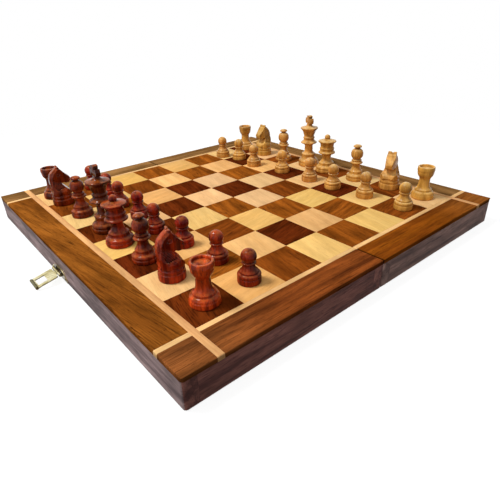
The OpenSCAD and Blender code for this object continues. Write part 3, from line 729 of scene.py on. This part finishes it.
def bake(piece):
    """Applies the piece's modifiers."""
    seen = piece.evaluated_get(bpy.context.evaluated_depsgraph_get())
    mesh = bpy.data.meshes.new_from_object(seen)
    mesh.name = piece.name
    piece.modifiers.clear()
    piece.data = mesh


def smooth(mesh, crease=None):
    """Round surfaces shade round, and edges sharper than the crease stay crisp."""
    for face in mesh.polygons:
        face.use_smooth = True
    if crease is not None:
        mesh.set_sharp_from_angle(angle=crease)


def paint(mesh, material):
    mesh.materials.clear()
    mesh.materials.append(material)


# ---------- inlaid pieces ----------

# Easing of every piece's edges, and how far a piece may lie below its neighbours.
EASE_MM = 0.14
EASE_CREASE = math.radians(40)
SINK_MM = 0.05
# Rounding of the board's outer top edge, as the CAD nodes have it and as it shows.
SAWN_ROUND_MM = 2.5
SEEN_ROUND_MM = 0.8
# How near a point lies to the sawn rounding to be on it, as a share of that rounding.
ROUND_SLACK = 0.03
# More than the rows of pieces in a column, so that each piece has its own number.
NUMBERS_PER_COLUMN = 101.0


def inlay_tree():
    """Geometry nodes that treat each loose part as a piece cut and glued by itself: it gets its
    own random lot, and its top lies a hair below the highest of its neighbours."""
    tree = bpy.data.node_groups.new("cut_and_laid", "GeometryNodeTree")
    face = tree.interface
    face.new_socket("Pieces", in_out="INPUT", socket_type="NodeSocketGeometry")
    for name, kind in (("Spacing", "Float"), ("Sink", "Float"), ("Top", "Float"), ("Seed", "Int")):
        face.new_socket(name, in_out="INPUT", socket_type="NodeSocket" + kind)
    face.new_socket("Wood", in_out="INPUT", socket_type="NodeSocketMaterial")
    face.new_socket("Pieces", in_out="OUTPUT", socket_type="NodeSocketGeometry")
    g = Graph(tree)
    given = g.node("NodeGroupInput").outputs
    at = g.node("GeometryNodeInputPosition").outputs[0]
    island = g.node("GeometryNodeInputMeshIsland").outputs["Island Index"]

    def total(kind, value):
        n = g.node("GeometryNodeAccumulateField", data_type=kind, domain="POINT")
        g.put(n.inputs["Value"], value)
        g.link(island, n.inputs["Group ID"])
        return n.outputs["Total"]

    corners = total("FLOAT", 1.0)
    middle = g.vector("SCALE", total("FLOAT_VECTOR", at), scale=g.math("DIVIDE", 1.0, corners))
    x, y = g.split(middle)[:2]
    step = g.math("DIVIDE", given["Spacing"], 2.0)
    column = g.math("ROUND", g.math("DIVIDE", x, step))
    row = g.math("ROUND", g.math("DIVIDE", y, step))
    lot = g.node("FunctionNodeRandomValue", data_type="FLOAT_VECTOR")
    g.link(g.math("MULTIPLY_ADD", column, NUMBERS_PER_COLUMN, row), lot.inputs["ID"])
    g.link(given["Seed"], lot.inputs["Seed"])
    store = g.node("GeometryNodeStoreNamedAttribute", data_type="FLOAT_VECTOR", domain="POINT")
    g.link(given["Pieces"], store.inputs["Geometry"])
    store.inputs["Name"].default_value = "lot"
    g.link(lot.outputs[0], store.inputs["Value"])
    low = g.times(g.split(lot.outputs[0])[1], given["Sink"])
    upper = g.math("GREATER_THAN", g.split(at)[2], given["Top"])
    settle = g.node("GeometryNodeSetPosition")
    g.link(store.outputs[0], settle.inputs["Geometry"])
    g.link(upper, settle.inputs["Selection"])
    g.link(g.join(0.0, 0.0, g.times(low, -1.0)), settle.inputs["Offset"])
    real = g.node("GeometryNodeRealizeInstances")
    g.link(settle.outputs[0], real.inputs[0])
    coat = g.node("GeometryNodeSetMaterial")
    g.link(real.outputs[0], coat.inputs["Geometry"])
    g.link(given["Wood"], coat.inputs["Material"])
    g.link(coat.outputs[0], g.node("NodeGroupOutput").inputs[0])
    return tree


def tighten_outer_edge(piece):
    """Gives the board's outer edge a smaller rounding: each point on the arc keeps its angle."""
    old = SAWN_ROUND_MM * MM
    new = SEEN_ROUND_MM * MM
    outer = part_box("right_border_rails")[1]
    for v in piece.data.vertices:
        turned = None
        for axis in (0, 1):
            out = abs(v.co[axis]) - (outer[axis] - old)
            up = v.co.z - (BOARD_TOP - old)
            on_arc = abs(math.hypot(out, up) - old) < ROUND_SLACK * old
            if out > -MERGE and up > -MERGE and on_arc:
                turned = math.atan2(up, out)
                reach = outer[axis] - new + new * math.cos(turned)
                v.co[axis] = math.copysign(reach, v.co[axis])
        if turned is not None:
            v.co.z = BOARD_TOP - new + new * math.sin(turned)


def lay(node, wood, tree, seed):
    """An inlay node with eased edges and a lot for each of its pieces."""
    piece = copy_of(node, node + "_laid")
    tighten_outer_edge(piece)
    ease = piece.modifiers.new("ease", "BEVEL")
    ease.width = EASE_MM * MM
    ease.segments = 2
    ease.limit_method = "ANGLE"
    ease.angle_limit = EASE_CREASE
    cut = piece.modifiers.new("cut", "NODES")
    cut.node_group = tree
    values = {
        "Spacing": SQUARE * MM,
        "Sink": SINK_MM * MM,
        "Top": BOARD_TOP - 2 * EASE_MM * MM,
        "Seed": seed,
        "Wood": wood,
    }
    for item in tree.interface.items_tree:
        if item.in_out == "INPUT" and item.name in values:
            cut[item.identifier] = values[item.name]
    bake(piece)
    smooth(piece.data, TURNED_CREASE)
    stand_in(piece, node)


# ---------- the box ----------


def finish_box():
    """Every piece of the two halves and the clasp."""
    metal = brass("sheet_brass")
    lining = felt("green_felt")
    ply = board_wood("bare_ply", "ply")
    strips = strip_wood("pale_strips")
    dark = tile_wood("dark_squares", "dark_square")
    pale = tile_wood("pale_squares", "pale_square")
    tree = inlay_tree()
    for side, out in (("left", -1), ("right", 1)):
        end = f"{side}_end"
        lay(f"{side}_dark_squares", dark, tree, seed=4)
        lay(f"{side}_light_squares", pale, tree, seed=9)
        lay(f"{side}_inlay_strips", strips, tree, seed=2)
        finishes = {
            "panel": ply,
            "lining": lining,
            "outer_wall": long_wall(f"{side}_wall_long", end, shift=(out * 90, 0, 0)),
            "hinge_wall": long_wall(f"{side}_wall_fold", end, shift=(out * 40, 300, 0)),
            "end_walls": board_wood(f"{side}_wall_ends", end, shift=(out * 500, 0, 0)),
            "hinge_leaves": metal,
            "nails": metal,
        }
        for piece, material in finishes.items():
            paint(NODES[f"{side}_{piece}"].data, material)
    left = rail_wood("left_rails", side="gold_rail", end="brown_rail", slant=-8)
    right = rail_wood("right_rails", side="olive_rail", end="amber_rail", slant=6)
    lay("left_border_rails", left, tree, seed=5)
    lay("right_border_rails", right, tree, seed=6)
    for node in ("hinge_pins", "latch_plate", "hasp", "hasp_pin", "catch_plate"):
        paint(NODES[node].data, metal)


# ---------- men ----------

# The knight's form is rebuilt from cubes of this size, then softened.
KNIGHT_VOXEL_MM = 0.28
SOFTEN_SHARE = 0.5
SOFTEN_ROUNDS = 2
# The hair: spacing and depth of its grooves, and the angle at which it falls.
HAIR_PITCH_MM = 1.15
HAIR_DEPTH_MM = 0.38
HAIR_FALL = math.radians(52)
# Where it hangs, seen from the side: [forward, up] corners of the neck, in millimetres.
NECK = ((-6.6, 22.6), (0.2, 19.0), (3.6, 14.0), (1.0, 11.6), (-3.6, 12.0), (-6.4, 17.0))
# The neck's flanks face sideways at least this much.
FLANK_TURN = 0.4
# Height of the base's lowest ring, where the head begins, and depth of the tip of the nose.
RING_MM = 4
HEAD_FROM_MM = 19
NOSE_MM = 0.6

# Range of each man's place in the log, in millimetres, of its hue and of its brightness.
LOG_REACH = (-400, 400)
MAN_HUES = (-0.008, 0.010)
MAN_VALUES = {"dark_man": (0.75, 1.15), "light_man": (0.86, 1.06)}
# Men cut from another piece of wood than the rest: hue shift and brightness.
ODD_MEN = {
    "dark_rook_near": (0.004, 1.85),
    "dark_king": (0.010, 0.52),
    "dark_pawn_1": (0.0, 0.85),
    "dark_knight_near": (0.0, 1.2),
    "dark_knight_far": (0.006, 0.85),
    "dark_pawn_2": (0.002, 1.2),
    "dark_rook_far": (0.010, 0.8),
    "light_pawn_2": (0.0, 0.8),
}


def turned_man(node, wood):
    """A man from the lathe: its round surfaces shade round."""
    piece = copy_of(node, node + "_turned")
    smooth(piece.data, TURNED_CREASE)
    paint(piece.data, wood)
    stand_in(piece, node)


def inside(corners, x, z):
    """How far the point lies inside a convex outline whose corners run clockwise, at most 1."""
    depth = 1.0
    for (ax, az), (bx, bz) in zip(corners, corners[1:] + corners[:1]):
        long = math.hypot(bx - ax, bz - az)
        depth = min(depth, ((z - az) * (bx - ax) - (x - ax) * (bz - az)) / -long)
    return max(depth, 0.0)


def stance(points):
    """Height of a knight's foot, the middle of its base and the direction it looks in."""
    foot = min(v.co.z for v in points)
    ring = [v.co for v in points if v.co.z < foot + RING_MM * MM]
    middle = [(min(c[a] for c in ring) + max(c[a] for c in ring)) / 2 for a in (0, 1)]

    def reach(c):
        return math.hypot(c.x - middle[0], c.y - middle[1])

    head = [v.co for v in points if v.co.z > foot + HEAD_FROM_MM * MM]
    farthest = max(reach(c) for c in head)
    tip = [c for c in head if reach(c) > farthest - NOSE_MM * MM]
    nose = sum(tip, Vector()) / len(tip)
    return foot, middle, Vector((nose.x - middle[0], nose.y - middle[1], 0)).normalized()


def cut_hair(piece):
    """Parallel cuts of a gouge down both sides of the neck, deepest in the middle of it."""
    points = piece.data.vertices
    foot, middle, forward = stance(points)
    side = Vector((-forward.y, forward.x, 0))
    moves = []
    for v in points:
        from_middle = Vector((v.co.x - middle[0], v.co.y - middle[1], 0)) / MM
        x, z = from_middle.dot(forward), (v.co.z - foot) / MM
        depth = inside(NECK, x, z)
        if depth == 0 or abs(v.normal.dot(side)) < FLANK_TURN:
            continue
        across = x * math.sin(HAIR_FALL) + z * math.cos(HAIR_FALL)
        cut = 0.5 - 0.5 * math.cos(2 * math.pi * across / HAIR_PITCH_MM)
        moves.append((v, -v.normal * (cut ** 2 * depth * HAIR_DEPTH_MM * MM)))
    for v, move in moves:
        v.co += move


def carved_knight(node, wood):
    """The sawn and cut form, with its edges softened and its hair cut in."""
    piece = copy_of(node, node + "_carved")
    remesh = piece.modifiers.new("remesh", "REMESH")
    remesh.mode = "VOXEL"
    remesh.voxel_size = KNIGHT_VOXEL_MM * MM
    soften = piece.modifiers.new("soften", "SMOOTH")
    soften.factor = SOFTEN_SHARE
    soften.iterations = SOFTEN_ROUNDS
    bake(piece)
    cut_hair(piece)
    smooth(piece.data)
    paint(piece.data, wood)
    stand_in(piece, node)


def finish_men():
    """All 32 men, each from its own piece of wood."""
    for node in sorted(n for n in NODES if n.startswith(("dark_", "light_"))):
        kind = "dark_man" if node.startswith("dark_") else "light_man"
        shift = [random.uniform(*LOG_REACH) for _ in range(3)]
        drawn = (random.uniform(*MAN_HUES), random.uniform(*MAN_VALUES[kind]))
        hue_shift, value = ODD_MEN.get(node, drawn)
        wood = man_wood(node + "_wood", kind, shift, 0.5 + hue_shift, value)
        if "knight" in node:
            carved_knight(node, wood)
        else:
            turned_man(node, wood)


# ---------- the scene ----------

set_camera()
light_world()
for lamp_name, lamp_spec in LAMPS.items():
    soft_box(lamp_name, **lamp_spec)
lay_floor()
finish_box()
finish_men()

bpy.context.scene.view_settings.view_transform = "Standard"
